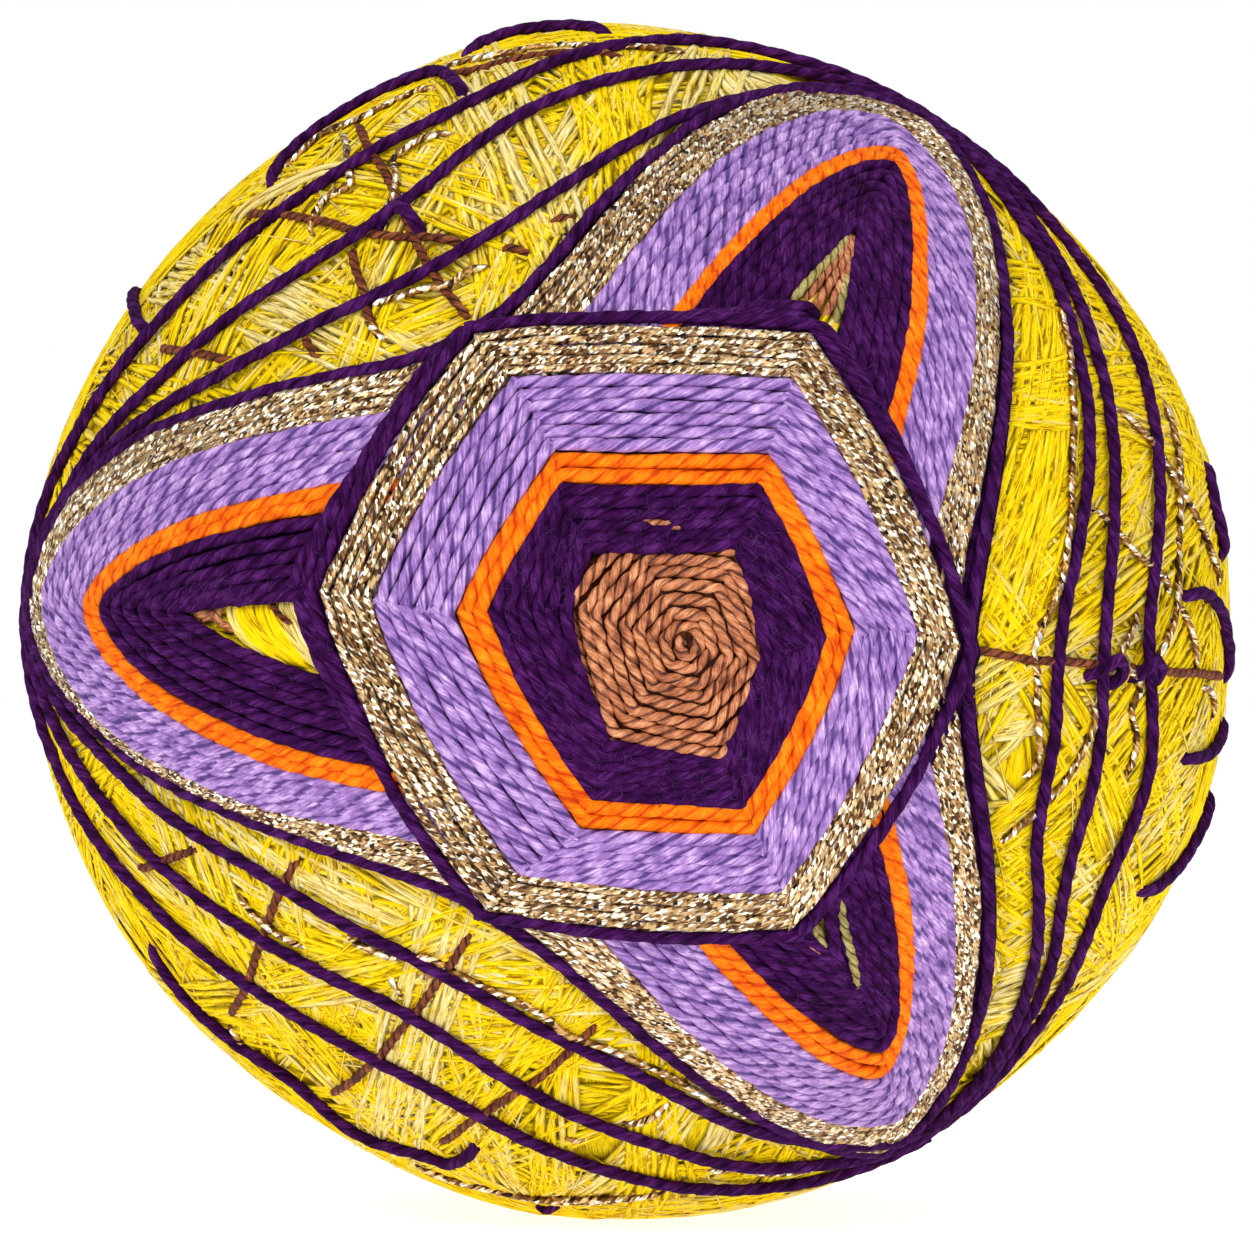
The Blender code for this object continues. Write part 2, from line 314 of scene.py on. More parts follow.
YARN_STEP = 2.2 * MM
STRAND_PITCH = 0.38 * MM
STRAND_HALF_WIDTH = 0.27 * MM
STRAND_HALF_HEIGHT = 0.11 * MM
STRAND_PROFILE = (-100, 0, 100)
YARN_PASSES = 88
STRANDS_IN_PASS = (8, 14)
MIDDLE_STRAND = 5
LEFT_OUT_BEHIND = 3
PASS_LEAN = (1.0, 1.0, 1.6)
PASS_SHIFT = 0.2
STRAND_SHIFT = 0.003
SLOW_DRIFT = (0.010, 2, 6)
QUICK_DRIFT = (0.004, 14, 26)
LAST_PHASE = 6
FIRST_PASS_LEVEL = -0.36
LAST_PASS_LEVEL = 0.05
LEVEL_SPREAD = 0.03
LEVEL_WAVE = 0.04
LEVEL_WAVES = 9
TONE_SPREAD = 0.12
SHORTEST_RUN = 4
FIBRES_ALONG = 90
FIBRES_ACROSS = 50
WISPS = 1000
WISP_HALF_WIDTH = 0.08 * MM
WISP_HALF_HEIGHT = 0.06 * MM
WISP_REACH = (0.15, 0.5)
WISP_STEP = 0.04
WISP_STEP_MM = 1.6
WISP_CURL = 0.6
WISP_LEVELS = (0.02, 0.14)
WISP_DIP = 0.3
WISP_DIP_RATE = 8
WISP_SHARE = 0.4
WISP_TONES = (0.5, 1.0)
LAST_WISPS = 0.3
GROUND_AROUND = 120
GROUND_DOWN = 64
GROUND_LEVEL = -0.44
GROUND_FIBRES = (350, 126)
GROUND_TONE = 0.2
UNDER_PATTERN = 2.2
RIM_POLAR = 28
OUTER_LINE = 5.0
GAP_LINE = 0.0
BEYOND_ARM = -99
ARM_SAMPLES = 40
rng = np.random.default_rng(24)


def unit(vectors):
    """The same vectors with a length of one."""
    return vectors / np.linalg.norm(vectors, axis=-1, keepdims=True)


def random_axes(lean=1.0):
    """Two directions square to each other, drawn at random. A lean draws the first one towards
    the axes on which it is above one."""
    first = unit(rng.normal(size=3) * lean)
    return first, unit(np.cross(first, rng.normal(size=3)))


def drifting(turn, size, fewest, most):
    """Drift aside of a strand on its way round: a sine with a whole number of waves."""
    return size * np.sin(turn * rng.integers(fewest, most) + rng.uniform(0, LAST_PHASE))


def above_floor(points):
    """The same points, with those below the floor raised to it."""
    return np.maximum(points, (-np.inf, -np.inf, 0.0))


def across_path(path):
    """Two directions at each point of a path, square to the way ahead and to each other: outwards
    from the ball's middle, and sideways."""
    ahead = unit(np.gradient(path, axis=0))
    outward = path - CENTRE
    outward = unit(outward - ahead * np.sum(outward * ahead, axis=1)[:, None])
    return outward, np.cross(ahead, outward)


def runs(shown):
    """Start and stop of each unbroken run of points that show."""
    edges = np.flatnonzero(np.diff(np.concatenate([[0], shown.astype(int), [0]])))
    return zip(edges[::2], edges[1::2])


def carried(rings, across, along, closed=False):
    """A profile carried along a path: rings[i, k] is the profile's point k at station i. Its
    corners' first coordinate is across[i, k] and the second along[i], both one longer than the
    rings where the mesh joins up with itself. The ends are closed by one face each."""
    stations, points = rings.shape[:2]
    i = np.arange(stations if closed else stations - 1)[:, None]
    k = np.arange(points)[None, :]
    after, beside = (i + 1) % stations, (k + 1) % points
    quads = np.stack(
        [i * points + k, i * points + beside, after * points + beside, after * points + k], axis=-1
    )
    corner = np.stack([across, np.broadcast_to(along[:, None], across.shape)], axis=-1)
    coords = np.stack([corner[i, k], corner[i, k + 1], corner[i + 1, k + 1], corner[i + 1, k]], axis=-2)
    loops, places = [quads.ravel()], [coords.reshape(-1, 2)]
    sizes = [np.full(quads.size // 4, 4)]
    if not closed:
        ring = np.arange(points)
        loops += [ring[::-1], (stations - 1) * points + ring]
        places += [corner[0, :points][::-1], corner[stations - 1, :points]]
        sizes += [np.array([points, points])]
    return rings.reshape(-1, 3), np.concatenate(loops), np.concatenate(places), np.concatenate(sizes)


def make_piece(name, parts, material, tones=None, nodes=()):
    """One object from carried parts, standing for the CAD nodes that it replaces."""
    firsts = np.cumsum([0] + [len(part[0]) for part in parts[:-1]])
    points = np.concatenate([part[0] for part in parts])
    loops = np.concatenate([part[1] + first for part, first in zip(parts, firsts)])
    corners = np.concatenate([part[2] for part in parts])
    sizes = np.concatenate([part[3] for part in parts])
    mesh = bpy.data.meshes.new(name)
    mesh.vertices.add(len(points))
    mesh.vertices.foreach_set("co", points.ravel())
    mesh.loops.add(len(loops))
    mesh.loops.foreach_set("vertex_index", loops)
    mesh.polygons.add(len(sizes))
    mesh.polygons.foreach_set("loop_start", np.concatenate([[0], np.cumsum(sizes)[:-1]]))
    mesh.update(calc_edges=True)
    mesh.uv_layers.new(name="thread").data.foreach_set("uv", corners.ravel())
    if tones is not None:
        spread = np.concatenate([np.full(len(part[0]), tone) for part, tone in zip(parts, tones)])
        mesh.attributes.new("tone", "FLOAT", "POINT").data.foreach_set("value", spread)
    mesh.shade_smooth()
    mesh.materials.append(material)
    piece = placed(name, mesh)
    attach(piece, "root")
    if nodes:
        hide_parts(*nodes)


def under_pattern(direction):
    """Whether a direction lies under the stitched pattern by more than a margin: nearer the pole
    than the hexagon's rim, or between a petal's outer line and the gap in its middle."""
    covered = np.zeros(direction.shape[:-1], bool)
    azimuth = np.degrees(np.arctan2(direction @ UPWARDS, direction @ RIGHTWARDS))
    shares = np.linspace(0, 1, ARM_SAMPLES)
    for side in SIDES:
        away = direction @ POLE * (-1 if side.turned else 1)
        polar = np.degrees(np.arccos(np.clip(away, -1, 1)))
        covered |= polar < RIM_POLAR - UNDER_PATTERN
        for petal in side.petals:
            for after in (False, True):
                reach = []
                for line in (OUTER_LINE, GAP_LINE):
                    angles, polars = arm_route(side, petal, line, after, shares)
                    turn = np.sign(angles[-1] - angles[0])
                    from_tip = ((azimuth - angles[0]) * turn + 180) % 360 - 180
                    swept = (angles - angles[0]) * turn
                    reach.append(np.interp(from_tip, swept, polars, left=BEYOND_ARM, right=BEYOND_ARM))
                covered |= (polar < reach[0] - UNDER_PATTERN) & (polar > reach[1] + UNDER_PATTERN)
    return covered


def strand_along(points, half_width, half_height, along, share=1.0):
    """A flat strand laid along points: its profile's angles from outwards to sideways give an
    ellipse about the path. Each strand reads its own stretch of the fibres' pattern."""
    outward, sideways = across_path(points)
    angles = np.radians(STRAND_PROFILE)[None, :, None]
    rings = points[:, None] + (
        outward[:, None] * np.cos(angles) * half_height
        + sideways[:, None] * np.sin(angles) * half_width
    )
    across = np.linspace(0, share, len(STRAND_PROFILE) + 1) + rng.uniform(0, FIBRES_ACROSS)
    return carried(above_floor(rings), np.broadcast_to(across, (len(points), len(across))), along)


ground_down = np.linspace(0, math.pi, GROUND_DOWN)[1:-1, None]
ground_around = np.linspace(0, 2 * math.pi, GROUND_AROUND, endpoint=False)[None, :]
ground = np.stack(
    [
        np.sin(ground_down) * np.cos(ground_around),
        np.sin(ground_down) * np.sin(ground_around),
        np.cos(ground_down) * np.ones_like(ground_around),
    ],
    axis=-1,
)
ground_across = np.broadcast_to(
    np.linspace(0, GROUND_FIBRES[0], GROUND_AROUND + 1), (GROUND_DOWN - 2, GROUND_AROUND + 1)
)
ground_along = np.linspace(0, GROUND_FIBRES[1], GROUND_DOWN - 2)
ground_part = carried(above_floor(at_level(ground, GROUND_LEVEL)), ground_across, ground_along)

YARN_GROUPS = ("front_upper", "front_lower", "back", "wisps")
strand_parts = {group: [] for group in YARN_GROUPS}
strand_tones = {group: [] for group in YARN_GROUPS}
for wound in range(YARN_PASSES):
    axis, side_on = random_axes(PASS_LEAN)
    upright = np.cross(axis, side_on)
    pass_tone = rng.uniform(0, 1)
    pass_level = FIRST_PASS_LEVEL + (LAST_PASS_LEVEL - FIRST_PASS_LEVEL) * wound / YARN_PASSES
    middle = rng.uniform(-PASS_SHIFT, PASS_SHIFT)
    for strand in range(rng.integers(*STRANDS_IN_PASS)):
        offset = middle + (strand - MIDDLE_STRAND) * STRAND_PITCH / BALL_RADIUS
        offset = offset + rng.uniform(-STRAND_SHIFT, STRAND_SHIFT)
        turn = np.arange(0, 2 * math.pi, YARN_STEP / BALL_RADIUS)[:, None]
        drift = offset + drifting(turn, *SLOW_DRIFT) + drifting(turn, *QUICK_DRIFT)
        around = np.cos(turn) * side_on + np.sin(turn) * upright
        direction = np.cos(drift) * around + np.sin(drift) * axis
        level = pass_level + rng.uniform(-LEVEL_SPREAD, LEVEL_SPREAD)
        level = level + LEVEL_WAVE * np.sin(turn[:, 0] * LEVEL_WAVES + rng.uniform(0, LAST_PHASE))
        points = above_floor(at_level(direction, level))
        tone = float(np.clip(pass_tone + rng.normal(0, TONE_SPREAD), 0, 1))
        for start, stop in runs(~under_pattern(direction)):
            if stop - start < SHORTEST_RUN:
                continue
            run = points[start:stop]
            along = np.arange(len(run)) * YARN_STEP / MM + rng.uniform(0, FIBRES_ALONG)
            part = strand_along(run, STRAND_HALF_WIDTH, STRAND_HALF_HEIGHT, along)
            group = "front_upper" if run[:, 2].mean() > CENTRE[2] else "front_lower"
            if run[:, 1].mean() > 0:
                group = "back"
            if group == "back" and strand % LEFT_OUT_BEHIND == LEFT_OUT_BEHIND - 1:
                continue
            strand_parts[group].append(part)
            strand_tones[group].append(tone)

for _ in range(WISPS):
    start, side_on = random_axes()
    turn = np.arange(0, rng.uniform(*WISP_REACH), WISP_STEP)[:, None]
    drift = rng.uniform(-WISP_CURL, WISP_CURL) * turn**2
    aside = side_on + np.cross(start, side_on) * drift
    direction = unit(np.cos(turn) * start + np.sin(turn) * aside)
    if direction[:, 1].mean() > LAST_WISPS or under_pattern(direction).any():
        continue
    from_end = np.minimum(turn, turn[-1] - turn)[:, 0] / turn[-1]
    level = rng.uniform(*WISP_LEVELS) - WISP_DIP * np.exp(-WISP_DIP_RATE * from_end)
    along = np.arange(len(turn)) * WISP_STEP_MM
    points = at_level(direction, level)
    wisp = strand_along(points, WISP_HALF_WIDTH, WISP_HALF_HEIGHT, along, WISP_SHARE)
    strand_parts["wisps"].append(wisp)
    strand_tones["wisps"].append(rng.uniform(*WISP_TONES))


def fibres(tree, stretch, roughness):
    """Fine fibres along a thread: noise on its own map, drawn out along it."""
    coords = add_node(tree, "UVMap", uv_map="thread")
    space = add_node(tree, "Mapping", {"Vector": coords.outputs["UV"], "Scale": stretch})
    noise = add_node(
        tree, "TexNoise",
        {"Vector": space.outputs[0], "Scale": 1.0, "Detail": 5.0, "Roughness": roughness},
    )
    return noise.outputs["Fac"]


def patches(tree, scale, detail):
    """Uneven patches over the whole of a piece: noise in its object's space."""
    place = add_node(tree, "TexCoord")
    noise = add_node(
        tree, "TexNoise", {"Vector": place.outputs["Object"], "Scale": scale, "Detail": detail}
    )
    return noise.outputs["Fac"]


def yarn_material(name):
    """Fuzzy acrylic yarn, lemon yellow from its dye, with undyed creamy strands among it: fine fibres
    run along each strand, paler and darker at random, with painted mustard shade between them
    and no gloss."""
    material = new_material(name, Roughness=0.9, Specular_IOR_Level=0.08)
    tree = material.node_tree
    fibre = fibres(tree, (5.0, 0.45, 1.0), 0.72)
    tone = add_node(tree, "Attribute", attribute_name="tone")
    blend = add_node(
        tree, "Math", {0: patches(tree, 260.0, 3.0), 1: 1.2, 2: tone.outputs["Fac"]},
        operation="MULTIPLY_ADD",
    )
    share = add_node(tree, "MapRange", {"Value": blend.outputs[0], "From Min": 1.18, "From Max": 1.58})
    # The darkest stop of each ramp, #74500a here and #886428 for the cream, is painted mustard shade
    # between the fibres.
    dyed_fibres_and_shade = add_node(
        tree, "ValToRGB", {"Fac": fibre},
        stops=(
            (0.35, "#74500a"), (0.68, "#ffee58"), (0.41, "#c49002"), (0.46, "#f2cb02"),
            (0.56, "#ffe108"),
        ),
    )
    cream_fibres_and_shade = add_node(
        tree, "ValToRGB", {"Fac": fibre},
        stops=((0.36, "#886428"), (0.66, "#fcf4cc"), (0.43, "#d8b85a"), (0.51, "#f5e08a")),
    )
    colour = add_node(
        tree, "Mix", {0: share.outputs[0], 6: dyed_fibres_and_shade.outputs["Color"], 7: cream_fibres_and_shade.outputs["Color"]},
        data_type="RGBA",
    )
    relief = add_node(tree, "Bump", {"Height": fibre, "Strength": 0.9, "Distance": 0.16 * MM})
    return joined_up(material, colour.outputs[2], relief.outputs[0])


acrylic_yarn = yarn_material("fuzzy_acrylic_yarn")
make_piece(
    "wound_ball_ground", [ground_part], acrylic_yarn, [GROUND_TONE],
    nodes=("wound_ball",),
)
for group in YARN_GROUPS:
    make_piece(
        f"wound_yarn_{group}", strand_parts[group], acrylic_yarn,
        strand_tones[group],
    )

# The threads. Size 5 pearl cotton is two plies, twisted one round the other to the left, soft and
# lustrous; the gold is a fine braid of metal foil. Each row of the pattern is one thread, laid
# against the row before it. Rows are placed by their line in the pattern's tables.

Thread = namedtuple("Thread", "ply_radius ply_offset turn flat step wander profile")
EIGHT_POINTS = tuple(range(0, 360, 45))
SIX_POINTS = tuple(range(0, 360, 60))
PEARL = Thread(0.39, 0.08, -3.8, 0.92, 0.36, 0.05, EIGHT_POINTS)
PEARL_BACK = PEARL._replace(step=0.55, profile=SIX_POINTS)
FLAT_PEARL = PEARL._replace(ply_radius=0.46, ply_offset=0.05, turn=-3.0, flat=0.8)
BRAID = Thread(0.29, 0.09, -5.0, 0.88, 0.35, 0.07, SIX_POINTS)
BRAID_BACK = BRAID._replace(step=0.55)
FEWEST_STEPS = 3
DIP_DEPTH = 1.3
DIP_LENGTH = 0.5 * MM
Wave = namedtuple("Wave", "size length_mm")
ASIDE = Wave(1.0, 2.3)
QUICK_ASIDE = Wave(0.6, 0.9)
LIFT = Wave(0.7, 1.9)
TWIST = Wave(0.12, 4.1)


def waving(mm, wave, phase):
    """A sine of a wave's size and length, at distances along a thread in millimetres."""
    return wave.size * np.sin(mm / wave.length_mm + phase)


def travelled(points):
    """Distance along a path at each of its points."""
    return np.concatenate([[0], np.cumsum(np.linalg.norm(np.diff(points, axis=0), axis=1))])


def even_points(points, count):
    """The same path as a number of points at even distances, and those distances."""
    length = travelled(points)
    at = np.linspace(0, length[-1], count)
    return np.stack([np.interp(at, length, points[:, axis]) for axis in range(3)], axis=-1), at


def dipped(level, along):
    """Level of a thread whose two ends dive into what lies below: it falls off as an exponential
    of the distance from the nearer end."""
    return level - DIP_DEPTH * np.exp(-np.minimum(along, along[-1] - along) / DIP_LENGTH)


def laid_thread(points, thread):
    """A two-ply thread along points: the outline of two round plies side by side, which turns
    with the twist as it is carried along, and whose path wanders a little."""
    steps = max(int(travelled(points)[-1] / (thread.step * MM)), FEWEST_STEPS)
    path, at = even_points(points, steps + 1)
    outward, sideways = across_path(path)
    phases = rng.uniform(0, 2 * math.pi, 4)
    mm = at / MM
    aside = waving(mm, ASIDE, phases[0]) + waving(mm, QUICK_ASIDE, phases[1])
    lift = waving(mm, LIFT, phases[2])
    path = path + (sideways * aside[:, None] + outward * lift[:, None]) * thread.wander * MM
    turns = mm / thread.turn + waving(mm, TWIST, phases[0]) + phases[3]
    on_ply = np.radians(np.array(thread.profile, float))
    outline = thread.ply_offset * np.abs(np.cos(on_ply)) + np.sqrt(
        thread.ply_radius**2 - (thread.ply_offset * np.sin(on_ply)) ** 2
    )
    radius = (outline * MM)[None, :, None]
    around = (on_ply[None, :] + 2 * math.pi * turns[:, None])[..., None]
    rings = path[:, None] + radius * (
        outward[:, None] * np.cos(around) * thread.flat + sideways[:, None] * np.sin(around)
    )
    wrap = np.append(on_ply, 2 * math.pi) / (2 * math.pi)
    return carried(above_floor(rings), np.broadcast_to(wrap, (len(at), len(wrap))), turns)


def pearl_cotton(name, crease_shade, body, pale_fibre_and_highlight, crease_shade_depth, roughness, shine):
    """Mercerised pearl cotton: fine silky fibres along each ply, paler and darker at random,
    the palest with painted highlight and the darkest painted shade, and narrow deep painted shade
    where the two plies meet."""
    material = new_material(name, Roughness=roughness, Specular_IOR_Level=shine)
    tree = material.node_tree
    coords = add_node(tree, "UVMap", uv_map="thread")
    parts = add_node(tree, "SeparateXYZ", {0: coords.outputs["UV"]})
    # Painted shade where the plies meet: the map's first coordinate nears a quarter there, and the colour
    # is darkened towards the first stop.
    from_crest = add_node(tree, "Math", {0: parts.outputs[0], 1: 0.25}, operation="PINGPONG")
    between = add_node(
        tree, "MapRange", {"Value": from_crest.outputs[0], "From Min": 0.15, "From Max": 0.25},
        interpolation_type="SMOOTHSTEP",
    )
    fine = add_node(
        tree, "Math", {0: fibres(tree, (13.0, 2.8, 1.0), 0.7), 1: 2.0}, operation="MULTIPLY"
    )
    grain = add_node(
        tree, "Math", {0: patches(tree, 900.0, 2.0), 1: 1.1, 2: fine.outputs[0]},
        operation="MULTIPLY_ADD",
    )
    shade = add_node(
        tree, "Math", {0: between.outputs[0], 1: -crease_shade_depth, 2: grain.outputs[0]},
        operation="MULTIPLY_ADD",
    )
    tint = add_node(tree, "MapRange", {"Value": shade.outputs[0], "From Min": 1.0, "From Max": 2.1})
    # First stop painted shade, middle stop the thread's own colour, last stop pale fibres with painted
    # highlight.
    ramp = add_node(
        tree, "ValToRGB", {"Fac": tint.outputs[0]}, stops=((0.08, crease_shade), (0.95, pale_fibre_and_highlight), (0.48, body))
    )
    relief = add_node(
        tree, "Bump", {"Height": shade.outputs[0], "Strength": 0.8, "Distance": 0.09 * MM}
    )
    return joined_up(material, ramp.outputs["Color"], relief.outputs[0])


def metallic_braid(name, deep, middle, pale, facets):
    """Braided metal foil: tiny facets of gold, each at its own slant and with its own colour at random,
    from brown through gold to painted white glints, so that some glint white and the ones beside
    them are brown."""
    material = new_material(name, Metallic=0.75, Roughness=0.34)
    tree = material.node_tree
    coords = add_node(tree, "UVMap", uv_map="thread")
    space = add_node(tree, "Mapping", {"Vector": coords.outputs["UV"], "Scale": facets})
    facet = add_node(tree, "TexVoronoi", {"Vector": space.outputs[0], "Scale": 1.0})
    value = add_node(tree, "SeparateColor", {0: facet.outputs["Color"]})
    # Painted glints: the top stops, #fff0d0 to white, paint some facets white as if they caught the light.
    ramp = add_node(
        tree, "ValToRGB", {"Fac": value.outputs[0]},
        stops=(
            (0.0, "#2a160a"), (1.0, "#ffffff"), (0.22, deep), (0.50, middle), (0.70, pale),
            (0.80, "#fff0d0"),
        ),
    )
    relief = add_node(
        tree, "Bump", {"Height": facet.outputs["Distance"], "Strength": 0.5, "Distance": 0.1 * MM}
    )
    slant = add_node(
        tree, "VectorMath", {0: facet.outputs["Color"], 1: (0.5, 0.5, 0.5)}, operation="SUBTRACT"
    )
    slanted = add_node(
        tree, "VectorMath", {0: slant.outputs[0], 1: (0.7, 0.7, 0.7), 2: relief.outputs[0]},
        operation="MULTIPLY_ADD",
    )
    facing = add_node(tree, "VectorMath", {0: slanted.outputs[0]}, operation="NORMALIZE")
    return joined_up(material, ramp.outputs["Color"], facing.outputs[0])


# For each cotton the first colour is painted shade, for the plies' crease and the strip between rows, the
# middle one the thread's own colour, and the last pale fibres with painted highlight.
dark_purple_cotton = pearl_cotton(
    "dark_purple_pearl_cotton", "#18001c", "#370944", "#5e2872", crease_shade_depth=0.30, roughness=0.85, shine=0.06
)
orange_cotton = pearl_cotton(
    "orange_pearl_cotton", "#c83c00", "#fc7400", "#ffa01a", crease_shade_depth=0.40, roughness=0.75, shine=0.12
)
lavender_cotton = pearl_cotton(
    "lavender_pearl_cotton", "#4c2c78", "#a074c0", "#eccaf6", crease_shade_depth=0.55, roughness=0.45, shine=0.4
)
terracotta_cotton = pearl_cotton(
    "terracotta_pearl_cotton", "#4c1c0a", "#bc6e44", "#ffbc88", crease_shade_depth=0.50, roughness=0.5, shine=0.35
)
gold_braid = metallic_braid("gold_metallic_braid", "#6e4826", "#b6905e", "#dcbe8a", (12.0, 15.0, 1.0))

Row = namedtuple("Row", "band count material slot thread back_thread level rise")
ROWS = (
    Row("dark_purple", 6, dark_purple_cotton, "dark_purple_cotton", PEARL, PEARL_BACK, 0.42, 0.45),
    Row("orange", 2, orange_cotton, "orange_cotton", FLAT_PEARL, PEARL_BACK, 0.42, 0.55),
    Row("lavender", 6, lavender_cotton, "lavender_cotton", PEARL, PEARL_BACK, 0.42, 0.85),
    Row("gold", 5, gold_braid, "gold_metallic_braid", BRAID, BRAID_BACK, 0.36, 0.95),
    Row("edge", 1, dark_purple_cotton, "dark_purple_cotton", PEARL, PEARL_BACK, 0.42, 0.95),
)
TUCK_POLAR = 25.5
ARM_SHARES = np.linspace(0, 1, 160)
SIDE_SHARES = np.linspace(-0.012, 1.012, 60)
BED_SIDE_SHARES = np.linspace(0, 1, 16)
BED_LEVEL = 0.16
BED_DROP = 0.28
BED_DEPTH = 0.016
# Map of the strip, across and along: across at 0.25, where a cotton's plies meet, gives it painted crease
# shade all over.
SHADE_STRIP_MAP = (0.25, 0.3)
PETAL_BED = (0.04, 0.96)
PETAL_BED_POINTS = 120
HEXAGON_BED = (0.02, 0.98)


def shade_strip(inner, outer, closed=False):
    """A low strip between two routes, under the rows. On the cottons its map lies where the plies
    meet, so it is a dark sheet of painted shade that shows between the rows.
    """
    low = [route + (CENTRE - route) * BED_DEPTH for route in (inner, outer)]
    rings = np.stack([low[0], inner, outer, low[1]], axis=1)
    halfway = len(inner) // 2
    ahead = np.gradient(inner, axis=0)[halfway]
    profile = rings[halfway]
    if np.dot(np.cross(profile[2] - profile[1], ahead), profile[1] - CENTRE) < 0:
        rings = rings[:, ::-1]
    across = np.full((len(inner) + closed, rings.shape[1] + 1), SHADE_STRIP_MAP[0])
    along = np.arange(len(inner) + closed) * SHADE_STRIP_MAP[1]
    return carried(above_floor(rings), across, along, closed)


def petal_row(side, petal, line):
    """A row round a petal: in along one arm, round the tip and out along the other."""
    halves = []
    for after in (False, True):
        azimuth, polar = arm_route(side, petal, line, after, ARM_SHARES)
        keep = polar > TUCK_POLAR
        halves.append(np.stack([azimuth[keep], polar[keep]]))
    return np.concatenate([halves[0][:, :0:-1], halves[1]], axis=1)


for side in SIDES:
    for row_index, row in enumerate(ROWS):
        thread = row.back_thread if side.turned else row.thread
        lines = row_index + (np.arange(row.count) + 0.5) / row.count
        for petal in side.petals:
            name = f"{side.name}_petal_{petal.name}_{row.band}"
            parts = [
                laid_thread(on_ball(*petal_row(side, petal, line), row.level, side.turned), thread)
                for line in lines
            ]
            edges = [
                on_ball(*petal_row(side, petal, row_index + share), BED_LEVEL, side.turned)
                for share in PETAL_BED
            ]
            # A strip of painted shade under the rows.
            parts.append(shade_strip(*[even_points(edge, PETAL_BED_POINTS)[0] for edge in edges]))
            make_piece(f"{name}_rows", parts, row.material, nodes=(name,))
        name = f"{side.name}_hexagon_{row.band}"
        parts = []
        for line in lines:
            for first in range(6):
                azimuth, polar = side_route(side, first, line, SIDE_SHARES)
                parts.append(laid_thread(on_ball(azimuth, polar, row.rise, side.turned), thread))
        for first in range(6):
            edges = [side_route(side, first, row_index + share, BED_SIDE_SHARES) for share in HEXAGON_BED]
            # A strip of painted shade under the rows.
            parts.append(shade_strip(*[on_ball(*edge, row.rise - BED_DROP, side.turned) for edge in edges]))
        make_piece(f"{name}_rows", parts, row.material, nodes=(name,))

# Extra edge rows. Where the last dark purple row was too thin, one or two short rows were laid
# outside it round the hexagon's corners, spreading at the corner and closing on the edge row.

Extra = namedtuple("Extra", "first start stop rows_at_start rows_at_stop")
EXTRAS = (
    Extra(1, 0.0, 0.40, 1.0, 0.1),
    Extra(1, 0.0, 0.22, 2.0, 1.2),
    Extra(0, 0.35, 1.0, 0.1, 1.0),
    Extra(2, 0.0, 1.0, 0.7, 1.0),
    Extra(2, 0.55, 1.0, 1.0, 2.0),
    Extra(3, 0.0, 0.30, 0.9, 0.1),
    Extra(3, 0.0, 0.45, 1.7, 0.2),
)
ROW_ANGLE = 1.2
EXTRA_LEVEL = 0.86
EDGE_LINE = 4.5
EXTRA_POINTS = 40
parts = []
for extra in EXTRAS:
    shares = np.linspace(extra.start, extra.stop, EXTRA_POINTS)
    azimuth, polar = side_route(SIDES[0], extra.first, EDGE_LINE, shares)
    polar = polar + ROW_ANGLE * np.linspace(extra.rows_at_start, extra.rows_at_stop, EXTRA_POINTS)
    along = np.linspace(0, travelled(on_ball(azimuth, polar, 0))[-1], EXTRA_POINTS)
    parts.append(laid_thread(on_ball(azimuth, polar, dipped(EXTRA_LEVEL, along)), PEARL))
make_piece("front_hexagon_extra_edge_rows", parts, dark_purple_cotton)

# The coil in the middle. One terracotta thread, thicker for not being packed, goes round a small
# eye off the pattern's pole. Its turns take the hexagon's corners, and the rim tucks under purple.

Coil = namedtuple("Coil", "side eye turns pitch")
COILS = (Coil(SIDES[0], (3.7, -1.7), 13, 1.20), Coil(SIDES[1], (0.0, 0.0), 9, 1.20))
COIL_CORNERS = (60, 115, 163, 230, 288, 345)
COIL_THREAD = Thread(0.31, 0.12, -2.3, 0.95, 0.25, 0.05, EIGHT_POINTS)
COIL_LEVEL = 0.34
COIL_START = 0.35
POINTS_A_TURN = 90
CORNERED = 0.9
COIL_WANDER = 0.16
WANDER_RATES = (1.37, 0.61)
LIFT_RATES = (2.3, 0.83)
UNDER_RIM = 0.8
RIM_DIP = 0.9
FEWEST_POINTS = 5
RIM_POINTS = 30
BED_EYE = 0.06
BED_UNDER_RIM = 0.3


def polar_place(right, up):
    """Azimuth and polar angle of an offset from the pole, in degrees to the right and up."""
    return np.degrees(np.arctan2(up, right)) % 360, np.hypot(right, up)


